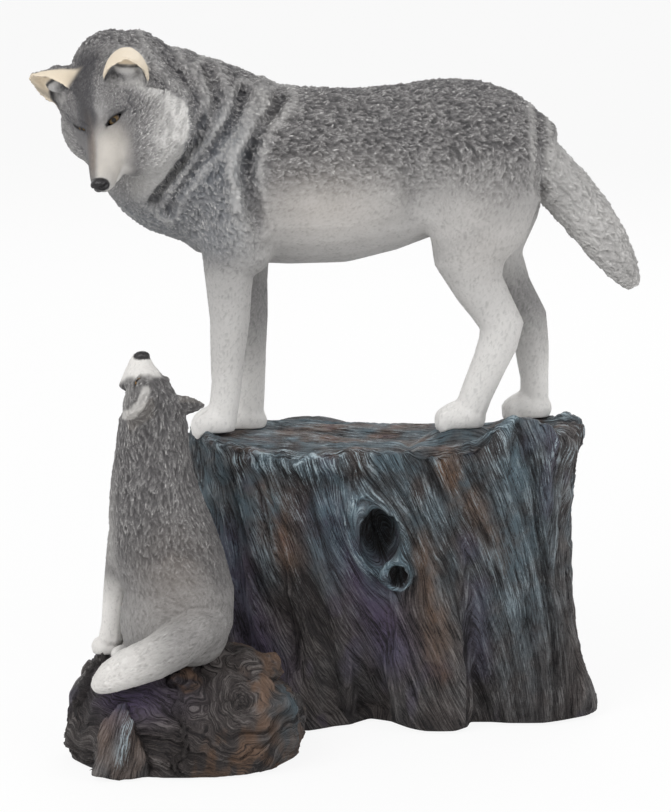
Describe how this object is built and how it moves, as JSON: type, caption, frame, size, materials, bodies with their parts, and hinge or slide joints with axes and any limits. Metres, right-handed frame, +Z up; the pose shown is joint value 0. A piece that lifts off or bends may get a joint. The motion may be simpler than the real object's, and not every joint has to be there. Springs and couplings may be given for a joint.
{
  "type": "wolf and pup figurine",
  "caption": "Painted cast-resin figurine: an adult wolf stands on a tree stump and looks down at a pup seated on a broken root.",
  "frame": {"origin": "on the flat underside, on the stump's own axis", "axes": "+Z up, -Y towards the viewer of the figurine's front, +X from the adult's head towards its tail"},
  "size_m": [0.2156, 0.1408, 0.2469],
  "materials": {
    "painted_bark": "matt paint, dark with blue, purple and copper dry-brushing",
    "painted_fur": "matt paint, mid grey shading to white on the legs",
    "painted_pup_fur": "matt paint, brown-grey with white muzzle, foreleg and tail tip"
  },
  "bodies": {
    "root": {"stump_base": "painted_bark", "adult_wolf": "painted_fur", "wolf_pup": "painted_pup_fur"}
  },
  "joints": []
}
